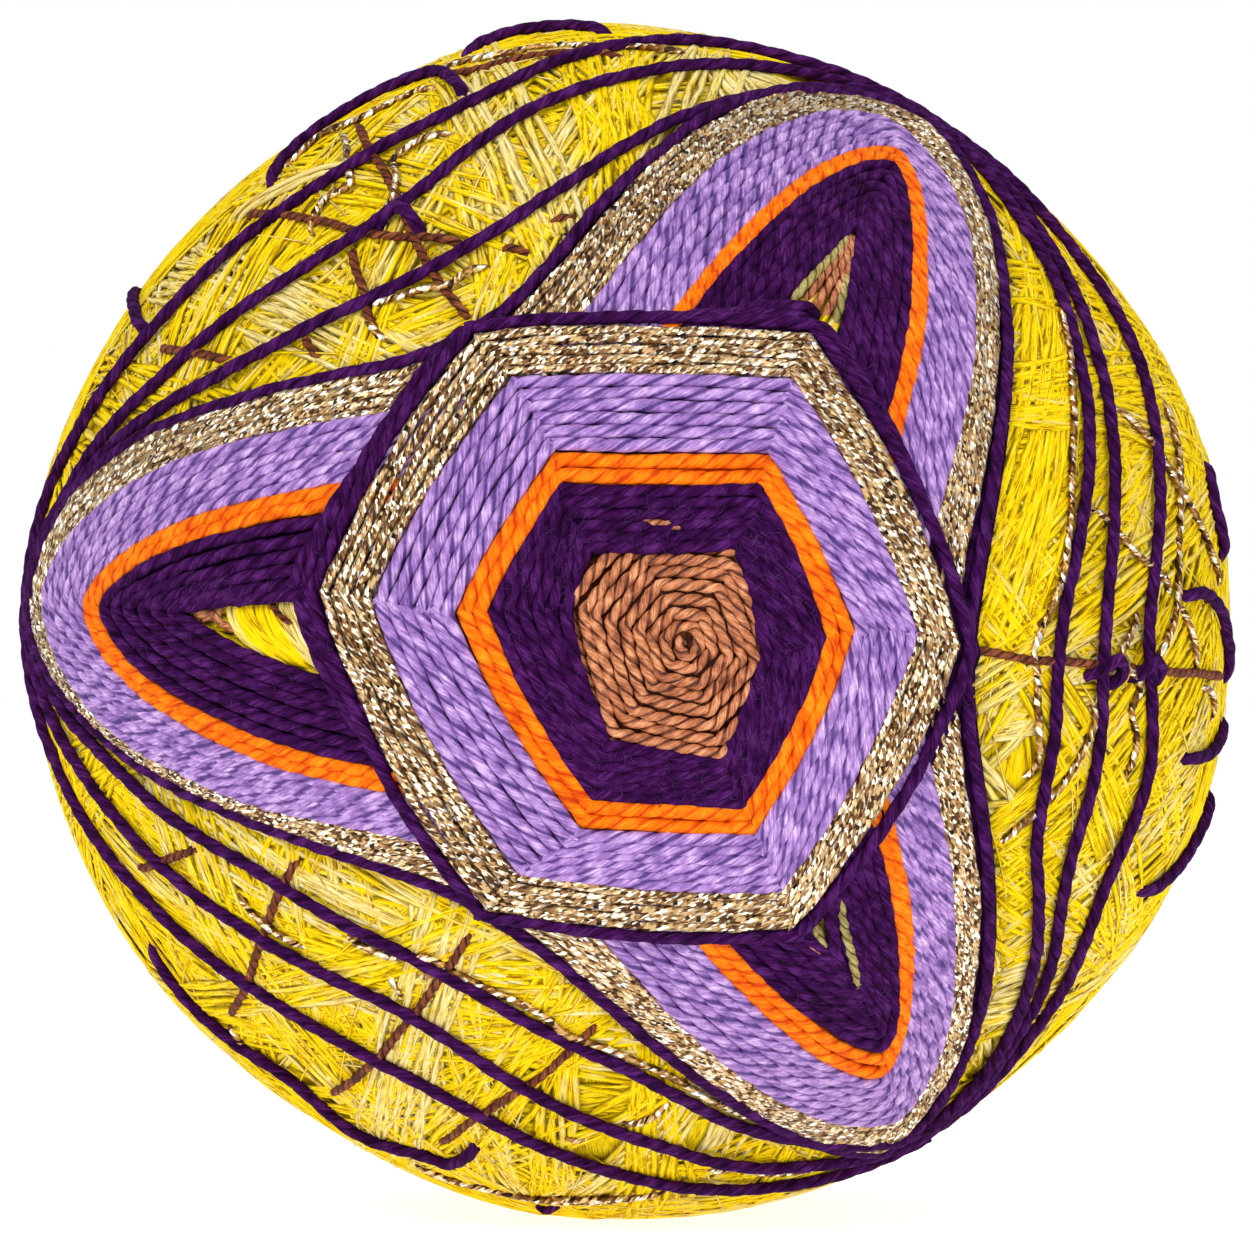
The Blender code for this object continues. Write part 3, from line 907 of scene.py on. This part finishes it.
for coil in COILS:
    rim_shares = np.linspace(0, 1, RIM_POINTS, endpoint=False)
    rim = np.concatenate([side_route(coil.side, first, 0.0, rim_shares) for first in range(6)], axis=1)
    rim_azimuth, rim_polar = rim[0] % 360, rim[1]
    order = np.argsort(rim_azimuth)
    bounds = np.radians(COIL_CORNERS)
    bounds = np.concatenate([bounds[-1:] - 2 * math.pi, bounds, bounds[:1] + 2 * math.pi])
    sweep = np.linspace(COIL_START, coil.turns, coil.turns * POINTS_A_TURN)
    spin = 2 * math.pi * sweep
    beyond = np.searchsorted(bounds, spin % (2 * math.pi), side="right")
    low, high = bounds[beyond - 1], bounds[beyond]
    facet = np.cos((high - low) / 2) / np.cos(spin % (2 * math.pi) - (high + low) / 2)
    reach = coil.pitch * sweep * (1 + CORNERED * (facet / facet.mean() - 1))
    reach = reach + COIL_WANDER * np.sin(spin * WANDER_RATES[0]) * np.sin(spin * WANDER_RATES[1] + 1)
    azimuth, polar = polar_place(coil.eye[0] + reach * np.cos(spin), coil.eye[1] + reach * np.sin(spin))
    inside = np.interp(azimuth, rim_azimuth[order], rim_polar[order], period=360)
    level = COIL_LEVEL - RIM_DIP * np.clip((polar - inside) / UNDER_RIM, 0, 1)
    level = level + COIL_WANDER * np.sin(spin * LIFT_RATES[0]) * np.cos(spin * LIFT_RATES[1])
    points = on_ball(azimuth, polar, level, coil.side.turned)
    parts = [
        laid_thread(points[start:stop], COIL_THREAD)
        for start, stop in runs(polar < inside + UNDER_RIM)
        if stop - start > FEWEST_POINTS
    ]
    around = np.radians(rim_azimuth)
    eye = polar_place(coil.eye[0] + BED_EYE * np.cos(around), coil.eye[1] + BED_EYE * np.sin(around))
    outer = (rim_azimuth, rim_polar + BED_UNDER_RIM)
    # A strip of painted shade under the coil's turns.
    parts.append(shade_strip(*[on_ball(*place, 0, coil.side.turned) for place in (eye, outer)], closed=True))
    name = f"{coil.side.name}_centre_coil"
    make_piece(f"{name}_thread", parts, terracotta_cotton, nodes=(name,))

# The arcs: single dark purple threads carried over the yarn from one petal's tip to the next.
# Each has nine polar angles, for azimuths 15 degrees apart, from its middle plus 60 downwards.

Arc = namedtuple("Arc", "name side middle polars")
ARC_LEVEL = 0.42
ARCS = (
    Arc("right_1", "front", 0, (75.5, 65, 54.8, 46.3, 41.2, 41.9, 46, 61.2, 73)),
    Arc("right_2", "front", 0, (76.5, 68, 58.5, 51, 47, 48.4, 51.5, 64, 74)),
    Arc("right_3", "front", 0, (78, 73.5, 68, 59.5, 54, 57.2, 59, 68, 75)),
    Arc("upper_1", "front", 120, (77.5, 66, 51.3, 43.4, 40.6, 42.2, 50, 63, 75.5)),
    Arc("upper_2", "front", 120, (78.5, 68, 57.8, 51.8, 50, 55, 61.7, 70.5, 76.5)),
    Arc("upper_3", "front", 120, (80, 75, 67.2, 63, 60.8, 62, 70, 77, 79)),
    Arc("lower_1", "front", 240, (72.6, 57.8, 45.3, 40.5, 39.2, 41.5, 47.5, 60, 76.5)),
    Arc("lower_2", "front", 240, (75, 65.5, 55, 48.8, 46, 49.3, 56.5, 67, 78)),
    Arc("lower_3", "front", 240, (77, 71.5, 63, 56.2, 54.6, 57.8, 64.5, 74, 80)),
    *[
        Arc(name, "back", middle, (75, 62, 52, 45, 42, 45, 52, 62, 75))
        for name, middle in (("right_1", 60), ("upper_1", 180), ("lower_1", 300))
    ],
)


def smooth_through(values, count):
    """Evenly spaced values of a smooth curve through the given ones: between two of them it
    leaves and arrives along the line that joins their neighbours."""
    values = np.asarray(values, float)
    at = np.linspace(0, len(values) - 1, count)
    knot = np.minimum(at.astype(int), len(values) - 2)
    t = at - knot
    p0, p1, p2, p3 = (values[np.clip(knot + n, 0, len(values) - 1)] for n in (-1, 0, 1, 2))
    return (
        p1 * (2 * t**3 - 3 * t**2 + 1)
        + (p2 - p0) / 2 * (t**3 - 2 * t**2 + t)
        + p2 * (3 * t**2 - 2 * t**3)
        + (p3 - p1) / 2 * (t**3 - t**2)
    )


for arc in ARCS:
    turned = arc.side == "back"
    azimuth = arc.middle + np.linspace(60, -60, 200)
    points = on_ball(azimuth, smooth_through(arc.polars, len(azimuth)), ARC_LEVEL, turned)
    name = f"{arc.side}_arc_{arc.name}"
    make_piece(
        f"{name}_thread", [laid_thread(points, PEARL_BACK if turned else PEARL)],
        dark_purple_cotton, nodes=(name,),
    )

# Threads that lie loose over the yarn: brown marking threads, which set out the pattern, fine
# gold threads caught between the arcs, and dark purple ones that come round from the back.

FINE_BRAID = Thread(0.21, 0.09, -1.8, 0.95, 0.30, 0.10, SIX_POINTS)
MARKING = Thread(0.24, 0.11, -2.0, 0.95, 0.28, 0.05, SIX_POINTS)
STRAND = Thread(0.19, 0.04, -6.0, 0.8, 0.40, 0.06, SIX_POINTS)
FRAYED = Thread(0.18, 0.07, -1.4, 0.9, 0.25, 0.08, SIX_POINTS)
# As for every cotton: first colour painted shade, last colour pale fibres with painted highlight.
brown_cotton = pearl_cotton(
    "brown_marking_cotton", "#2a0c06", "#6e3018", "#b26a42", crease_shade_depth=0.60, roughness=0.7, shine=0.2
)
olive_cotton = pearl_cotton(
    "pale_olive_cotton", "#5c4c20", "#a89856", "#e0d698", crease_shade_depth=0.50, roughness=0.75, shine=0.2
)
loose_gold_braid = metallic_braid("loose_gold_braid", "#6b4420", "#b08040", "#d8b06c", (5.0, 3.5, 1.0))
Laid = namedtuple("Laid", "level places side", defaults=("front",))
MARKING_THREADS = (
    Laid(0.14, ((356, 29.5), (355, 37.7), (355, 42.5), (355, 50.5), (355, 65.9), (355, 76))),
    Laid(0.14, ((214, 40.9), (219, 50), (223, 60.4), (224, 68.4))),
    Laid(0.14, ((241, 32.9), (240, 44.6), (239, 54.2), (237, 68.3))),
    Laid(0.14, ((264, 38.5), (258, 46.7), (252, 56.2), (249, 65.9))),
    Laid(0.14, ((206, 65), (207, 51.4))),
    Laid(0.14, ((118.9, 71.5), (119.3, 62.7), (119.3, 56.5), (119.8, 49.5), (120.6, 40.8), (119.6, 33))),
    Laid(0.14, ((150, 64.5), (147, 50.3))),
    Laid(0.14, (
        (133.6, 69.5), (130.2, 60), (127.8, 55.2), (125.4, 50.7), (121.8, 46.5), (118.5, 44.3),
        (114.6, 41.6),
    )),
    Laid(0.20, ((110.9, 39.8), (108.7, 38.5), (105.8, 36.6))),
    Laid(0.20, ((103.8, 40.6), (101.3, 40.5), (98.4, 40.7))),
    Laid(0.14, ((127.3, 50), (128.8, 46.3), (129.9, 43.2), (131.4, 40.5), (132.6, 37))),
    Laid(0.20, ((139.4, 45.6), (140.6, 41.2))),
    Laid(0.14, ((109.5, 72.6), (106.6, 69.7), (103.4, 69.3), (99.8, 69), (96.3, 68.3), (90.6, 67))),
    *[Laid(0.14, [(azimuth, polar) for polar in (32, 45, 60, 80)], "back") for azimuth in (60, 180, 300)],
)
GOLD_THREADS = (
    Laid(0.24, (
        (40, 63), (33, 55.5), (27, 50.6), (21, 47.3), (12, 43.5), (8, 42.1), (1, 39.6), (356, 38.1),
        (353, 38.8), (348, 39.5), (341, 40.9), (338, 41.2),
    )),
    Laid(0.24, ((24, 70), (17, 66.1), (10, 62.4), (3, 60.1), (358, 57.6), (356, 56))),
    Laid(0.24, ((3, 60.1), (360, 62.5), (355, 65.9))),
    Laid(0.24, (
        (2, 53.5), (359, 51.5), (356, 49.9), (353, 53.1), (350, 52.5), (347, 54.2), (342, 54.8),
    )),
    Laid(0.24, ((351, 47.1), (347, 47.1), (341, 45.9), (338, 44.9), (333, 42.6), (328, 41.4))),
    Laid(0.24, ((354, 67.7), (353, 71.1), (350, 73.4))),
    Laid(0.24, ((25, 57.2), (14, 64.9), (3, 74.1))),
    Laid(0.24, ((15, 47.9), (11, 50.5), (7, 54.1), (5, 57.8), (3, 59.7))),
    Laid(0.24, ((247, 75.3), (260, 72.5), (271, 68.4))),
    Laid(0.24, ((213, 50.6), (218, 50), (220, 49.3), (225, 47.9))),
    Laid(0.30, (
        (226, 43.3), (232, 41.2), (237, 38.5), (241, 38.4), (247, 38.4), (256, 39.3), (260, 40.7),
        (268, 42.7), (275, 46.7), (282, 53), (286, 55.7),
    )),
    Laid(0.24, ((233, 42.9), (236, 44.2), (238, 45.5))),
    Laid(0.24, ((224, 70.2), (228, 71.3), (232, 70.9))),
    Laid(0.60, ((238, 41.7), (239, 39.5), (241, 38.3))),
    Laid(0.24, ((274, 49.2), (271, 52), (267, 53.2))),
    Laid(0.24, ((287, 61.9), (289, 62.1), (290, 62.3))),
    Laid(0.24, ((277, 64.6), (280, 64), (284, 67.1), (290, 70))),
    Laid(0.24, ((261, 72.1), (266, 69.7), (270, 69), (274, 67.9))),
    Laid(0.24, ((261, 56.6), (265, 56))),
    Laid(0.24, ((84, 69.6), (89.6, 69.2), (96.3, 70.4), (100, 71.3), (103.9, 71.4), (109.7, 76))),
    Laid(0.24, (
        (109.4, 68.6), (112.5, 70.3), (115.9, 70.6), (118.5, 70.8), (122.4, 74.1), (126.4, 72.5),
        (128.5, 74),
    )),
    Laid(0.24, ((110, 57.2), (113.1, 58.2), (116.2, 58.3), (119.2, 57.6))),
    Laid(0.30, ((112.5, 38), (115.7, 38.1), (119.5, 37.6), (123.5, 39.1), (127.8, 40.3), (131.6, 42.3))),
    Laid(0.24, ((131.2, 41.6), (131.8, 39.5), (132.1, 36.8))),
    Laid(0.24, ((120.6, 71), (121.2, 67.5), (122.1, 61.8), (123.2, 57.9), (126.4, 58.3), (130.6, 56))),
    Laid(0.24, ((118, 58.5), (118.2, 54.5), (120.5, 51.7), (123.5, 51.6))),
    *[
        Laid(0.24, ((at + 40, 66), (at + 20, 49), (at, 43.6), (at - 20, 49), (at - 40, 66)), "back")
        for at in (60, 180, 300)
    ],
)
RIM_THREADS = (
    Laid(0.42, ((16, 78), (12, 74.9), (6, 77.4))),
    Laid(0.42, ((3, 61.5), (3, 67.1), (1, 72.4), (359, 74.9), (357, 77.5), (354, 77.2))),
    Laid(0.42, ((351, 80.2), (348, 74.1), (346, 65.4))),
    Laid(0.42, ((332, 67.9), (337, 76.9), (344, 83.9))),
    Laid(0.42, (
        (213, 72.2), (220, 73.3), (225, 72.1), (233, 69.6), (241, 73), (248, 69), (251, 68), (253, 61.9),
    )),
    Laid(0.42, ((260, 76.9), (263, 75.4))),
    Laid(0.42, (
        (130, 70.3), (127, 74), (122, 77), (116, 76.4), (111, 74.1), (109, 71.2), (108, 63.7),
    )),
    Laid(0.42, ((107, 77.1), (102, 80.7), (97, 79), (92, 75.6))),
    Laid(0.42, ((146, 86), (149, 69.3))),
    Laid(0.80, ((119.3, 45.2), (119.2, 46.4), (119.5, 48.4), (120.8, 49.7), (123.4, 49.7))),
    Laid(0.75, ((353.1, 45.5), (354.5, 46.8), (355.7, 48.1), (355.4, 49.2), (354.2, 49.5), (352.4, 48.9))),
    Laid(0.75, ((353.5, 52.2), (354.8, 53.2), (356, 54.4), (355.5, 55.5), (354.3, 55.9), (352.8, 55.7))),
)
Gap = namedtuple("Gap", "name material slot thread routes")
GAP_THREADS = (
    Gap("gap_terracotta_threads", terracotta_cotton, "terracotta_cotton", MARKING, (
        Laid(0.30, ((61.4, 45.8), (61.8, 41.5), (62.6, 38), (63.6, 34.4))),
        Laid(0.30, ((61.1, 45.8), (60.9, 41.5), (61, 37.5), (61.4, 34.2))),
        Laid(0.30, ((60.5, 45.8), (59.9, 41.2), (59.5, 37.1), (59.2, 34.3))),
        Laid(0.30, ((59.8, 45.6), (58.9, 41.7), (58.2, 38), (57.2, 34.6))),
        Laid(0.62, ((296.4, 32.9), (298.3, 34.9), (300, 36.9))),
    )),
    Gap("gap_frayed_threads", terracotta_cotton, "terracotta_cotton", FRAYED, (
        Laid(0.34, ((178.2, 45.4), (178.5, 43.7), (178.3, 42.1))),
        Laid(0.30, ((179.2, 44.6), (179.2, 43.1), (178.6, 41.8))),
        Laid(0.26, ((178.7, 45.2), (178.9, 43.6), (179.4, 42))),
        Laid(0.40, ((176.6, 41.1), (178.4, 41.4), (179.6, 41.1), (181.3, 40.3))),
        Laid(0.34, ((179.7, 42.2), (179.7, 41), (180.3, 40), (182, 38.4))),
        Laid(0.26, ((177.6, 42.4), (178.9, 42.2), (180.2, 41.8))),
        Laid(0.74, ((101, 8.7), (90.6, 8.7), (77.5, 8.8), (61, 9.2))),
        Laid(0.74, ((98, 8.9), (88, 8.95), (77.5, 9), (64, 9.3))),
    )),
    Gap("gap_brown_threads", brown_cotton, "terracotta_cotton", FRAYED, (
        Laid(0.52, ((177.9, 39.6), (177.3, 38.7), (176.5, 37.2), (175.7, 35.7), (175.8, 34))),
        Laid(0.56, ((176.2, 35.8), (177.8, 34.5), (179.1, 33.7), (180.8, 32.7))),
        Laid(0.50, ((176, 35), (177.4, 35), (178.8, 34.9))),
    )),
    Gap("gap_olive_threads", olive_cotton, "terracotta_cotton", MARKING, (
        Laid(0.46, ((61.9, 45.6), (62.3, 41.7), (63.6, 38.5), (65.3, 33.5))),
        Laid(0.46, ((59.7, 41.3), (58.8, 37.7), (57.2, 34.2))),
        Laid(0.66, ((300.6, 42.5), (301.3, 40), (302.2, 37.5), (303.3, 35.1), (304.8, 32.8), (307.6, 30))),
        Laid(0.46, ((297.4, 34.6), (299.2, 33.4), (301.3, 31.8))),
        Laid(0.46, ((299, 37.6), (299.2, 35.2), (300.4, 32.2))),
    )),
    Gap("gap_dark_purple_thread", dark_purple_cotton, "dark_purple_cotton", PEARL, (
        Laid(0.50, ((299.7, 41.4), (300.3, 37), (301.5, 34.6), (302.8, 32.5), (304.6, 30))),
    )),
)
CREAM_STRANDS = (
    Laid(0.30, ((136, 71.5), (131.6, 69.2), (128.8, 67.3), (125.5, 65.3), (121.8, 62.8))),
    Laid(0.26, ((135.4, 69.6), (131.2, 67.7), (128.5, 65.7), (125.4, 64), (122.8, 61.8))),
    Laid(0.28, ((134.2, 69.2), (130.6, 67.2), (127.6, 65.4), (124.6, 63.4))),
)
FIRST_IN_GAP = ((175.4, 40.2), (177.6, 40.2), (179.8, 39.6), (182, 38.5), (183.9, 36.7), (186.6, 33.9))
LAST_IN_GAP = ((174.5, 33.2), (177.5, 32.6), (180.2, 31.9), (182.7, 31.3), (185.4, 30.6), (189.4, 29.6))
TONES_IN_GAP = (0.9, 0.9, 0.5, 0.0, 0.0, 0.0, 0.0, 0.2, 0.0, 0.0, 0.4, 0.9, 0.9, 1.0, 1.0)
GAP_STRAND_LEVELS = (0.12, 0.18, 0.24)
GAP_STRANDS = tuple(
    Laid(
        GAP_STRAND_LEVELS[index % 3],
        np.array(FIRST_IN_GAP) * (1 - share) + np.array(LAST_IN_GAP) * share,
    )
    for index, share in enumerate(np.linspace(0, 1, len(TONES_IN_GAP)))
)
POINTS_A_PLACE = 14


def laid_through(laid, thread):
    """A thread on a smooth route through its places, whose two ends dive into the yarn."""
    azimuths, polars = np.array(laid.places, float).T
    knots = towards(azimuths, polars, laid.side == "back")
    count = POINTS_A_PLACE * (len(laid.places) - 1) + 1
    direction = unit(np.stack([smooth_through(knots[:, axis], count) for axis in range(3)], axis=-1))
    level = dipped(laid.level, travelled(direction) * BALL_RADIUS)
    return laid_thread(at_level(direction, level), thread)


for side in SIDES:
    marking = [laid_through(laid, MARKING) for laid in MARKING_THREADS if laid.side == side.name]
    make_piece(f"{side.name}_marking_threads", marking, brown_cotton)
    gold = [laid_through(laid, FINE_BRAID) for laid in GOLD_THREADS if laid.side == side.name]
    make_piece(f"{side.name}_loose_gold_threads", gold, loose_gold_braid)
make_piece(
    "rim_threads_from_the_back", [laid_through(laid, PEARL) for laid in RIM_THREADS],
    dark_purple_cotton,
)
make_piece(
    "loose_yarn_strands", [laid_through(laid, STRAND) for laid in CREAM_STRANDS + GAP_STRANDS],
    acrylic_yarn, (1.0,) * len(CREAM_STRANDS) + TONES_IN_GAP,
)
for gap in GAP_THREADS:
    parts = [laid_through(laid, gap.thread) for laid in gap.routes]
    make_piece(gap.name, parts, gap.material)

# Fuzz. Dark purple cotton sheds fine curly fibres, paler than the thread, which lie over the rows.

FIBRES = 900
FIBRE_SHARES = np.linspace(0, 1, 6)
FIRST_ROWS = (0.1, 0.84)
EDGE_ROWS = (4.3, 4.7)
ON_FIRST_ROWS = 0.8
ON_HEXAGON = 0.35
HEXAGON_RISES = (0.87, 1.34)
PETAL_RISE = 0.84
HEXAGON_HIDES = 33
FIBRE_CURL = 3.0
FIBRE_REACH = (0.5, 1.3)
FIBRE_ARCH = 0.12
FIBRE = Thread(0.018, 0.0, 5.0, 1.0, 0.35, 0.0, (0, 120, 240))
# First colour painted shade, last colour pale fibres with painted highlight.
fibre_cotton = pearl_cotton(
    "dark_purple_stray_fibres", "#3c1c52", "#5a3872", "#80609a", crease_shade_depth=0.0, roughness=0.8, shine=0.1
)
parts = []
for _ in range(FIBRES):
    line = rng.uniform(*(FIRST_ROWS if rng.uniform() < ON_FIRST_ROWS else EDGE_ROWS))
    share = rng.uniform(0.02, 0.98)
    if rng.uniform() < ON_HEXAGON:
        azimuth, polar = side_route(SIDES[0], rng.integers(6), line, np.array([share]))
        rise = HEXAGON_RISES[int(line > 1)]
    else:
        petal = FRONT_PETALS[rng.integers(3)]
        azimuth, polar = arm_route(SIDES[0], petal, line, rng.uniform() < 0.5, np.array([share]))
        rise = PETAL_RISE
        if polar[0] < HEXAGON_HIDES:
            continue
    turn = rng.uniform(0, 2 * math.pi) + rng.uniform(-FIBRE_CURL, FIBRE_CURL) * FIBRE_SHARES
    reach = np.degrees(rng.uniform(*FIBRE_REACH) * MM / BALL_RADIUS) / len(turn)
    right = azimuth + np.cumsum(np.cos(turn)) * reach / np.sin(np.radians(polar))
    up = polar + np.cumsum(np.sin(turn)) * reach
    level = rise + FIBRE_ARCH * np.sin(math.pi * FIBRE_SHARES)
    parts.append(laid_thread(on_ball(right, up, level), FIBRE))
make_piece("dark_purple_fuzz", parts, fibre_cotton)
